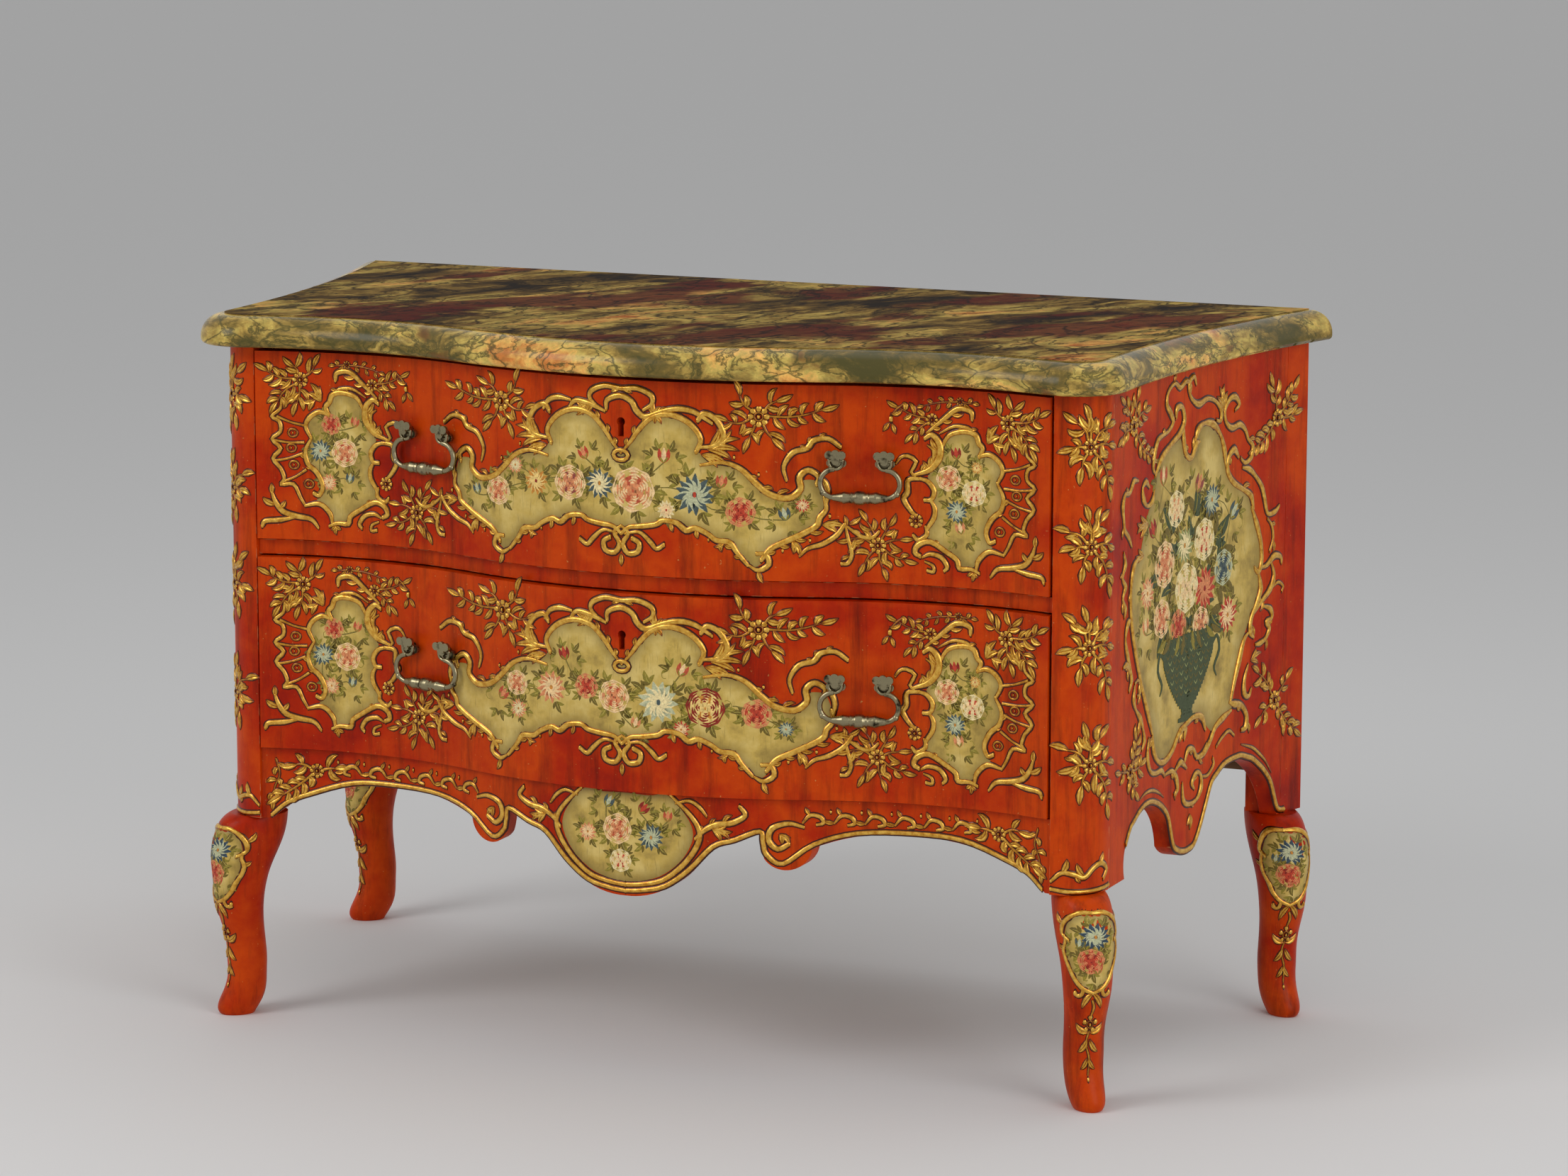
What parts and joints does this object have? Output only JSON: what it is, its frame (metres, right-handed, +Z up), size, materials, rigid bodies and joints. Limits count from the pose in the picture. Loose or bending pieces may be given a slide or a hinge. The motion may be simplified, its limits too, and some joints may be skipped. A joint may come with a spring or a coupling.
{
  "type": "chest of drawers",
  "caption": "Serpentine-fronted chest of drawers with a moulded top, hollow sides, shaped aprons, curved legs and hanging bail handles.",
  "frame": {"origin": "on the floor, below the middle of the chest's bounding box", "axes": "+X to the chest's left-to-right width, -Y out of the drawer fronts, +Z up"},
  "size_m": [1.2982, 0.6299, 0.85],
  "materials": {
    "red_lacquer": "old red lacquer over gesso, satin gloss",
    "marbled_top": "painted to look like marble, varnished",
    "bare_wood": "bare, aged softwood",
    "handle_metal": "aged cast metal, worn bright on the high parts",
    "iron": "dark forged iron"
  },
  "bodies": {
    "case": {"back_board_lower": "bare_wood", "back_board_upper": "bare_wood", "back_nails": "iron", "bottom_rail": "bare_wood", "case_bottom_board": "bare_wood", "drawer_stops": "bare_wood", "dust_board": "bare_wood", "front_apron": "red_lacquer", "front_leg_left": "red_lacquer", "front_leg_right": "red_lacquer", "front_post_left": "red_lacquer", "front_post_right": "red_lacquer", "front_top_rail": "bare_wood", "glue_blocks": "iron", "kicker_left": "bare_wood", "kicker_right": "bare_wood", "lower_guide_left": "bare_wood", "lower_guide_right": "bare_wood", "lower_runner_left": "bare_wood", "lower_runner_right": "bare_wood", "middle_rail": "red_lacquer", "rear_leg_left": "red_lacquer", "rear_leg_right": "red_lacquer", "rear_post_left": "red_lacquer", "rear_post_right": "red_lacquer", "side_panel_left": "red_lacquer", "side_panel_right": "red_lacquer", "top_front_board": "marbled_top", "top_rear_board": "marbled_top", "upper_guide_left": "bare_wood", "upper_guide_right": "bare_wood", "upper_runner_left": "bare_wood", "upper_runner_right": "bare_wood"},
    "upper_drawer": {"upper_drawer_back": "bare_wood", "upper_drawer_bottom": "bare_wood", "upper_drawer_front": "red_lacquer", "upper_drawer_side_left": "bare_wood", "upper_drawer_side_right": "bare_wood", "upper_handle_nuts": "iron", "upper_handle_posts_left": "handle_metal", "upper_handle_posts_right": "handle_metal", "upper_lock": "iron", "upper_lock_screws": "iron"},
    "lower_drawer": {"lower_drawer_back": "bare_wood", "lower_drawer_bottom": "bare_wood", "lower_drawer_front": "red_lacquer", "lower_drawer_side_left": "bare_wood", "lower_drawer_side_right": "bare_wood", "lower_handle_nuts": "iron", "lower_handle_posts_left": "handle_metal", "lower_handle_posts_right": "handle_metal", "lower_lock": "iron", "lower_lock_screws": "iron"},
    "upper_left_bail": {"upper_bail_left": "handle_metal"},
    "upper_right_bail": {"upper_bail_right": "handle_metal"},
    "lower_left_bail": {"lower_bail_left": "handle_metal"},
    "lower_right_bail": {"lower_bail_right": "handle_metal"},
    "upper_bolt": {"upper_lock_bolt": "iron"},
    "lower_bolt": {"lower_lock_bolt": "iron"}
  },
  "joints": [
    {"name": "upper_drawer_slide", "type": "slide", "parent": "case", "child": "upper_drawer", "axis": [0, -1, 0], "range_m": [0, 0.36]},
    {"name": "lower_drawer_slide", "type": "slide", "parent": "case", "child": "lower_drawer", "axis": [0, -1, 0], "range_m": [0, 0.36]},
    {"name": "upper_left_bail_swing", "type": "hinge", "parent": "upper_drawer", "child": "upper_left_bail", "pos_m": [-0.27263, -0.24441, 0.725], "axis": [-0.971, 0.2389, 0], "range_deg": [0, 70]},
    {"name": "upper_right_bail_swing", "type": "hinge", "parent": "upper_drawer", "child": "upper_right_bail", "pos_m": [0.27263, -0.24441, 0.725], "axis": [-0.971, -0.2389, 0], "range_deg": [0, 70]},
    {"name": "lower_left_bail_swing", "type": "hinge", "parent": "lower_drawer", "child": "lower_left_bail", "pos_m": [-0.27263, -0.24441, 0.47], "axis": [-0.971, 0.2389, 0], "range_deg": [0, 70]},
    {"name": "lower_right_bail_swing", "type": "hinge", "parent": "lower_drawer", "child": "lower_right_bail", "pos_m": [0.27263, -0.24441, 0.47], "axis": [-0.971, -0.2389, 0], "range_deg": [0, 70]},
    {"name": "upper_bolt_slide", "type": "slide", "parent": "upper_drawer", "child": "upper_bolt", "axis": [0, 0, 1], "range_m": [0, 0.012]},
    {"name": "lower_bolt_slide", "type": "slide", "parent": "lower_drawer", "child": "lower_bolt", "axis": [0, 0, 1], "range_m": [0, 0.012]}
  ]
}
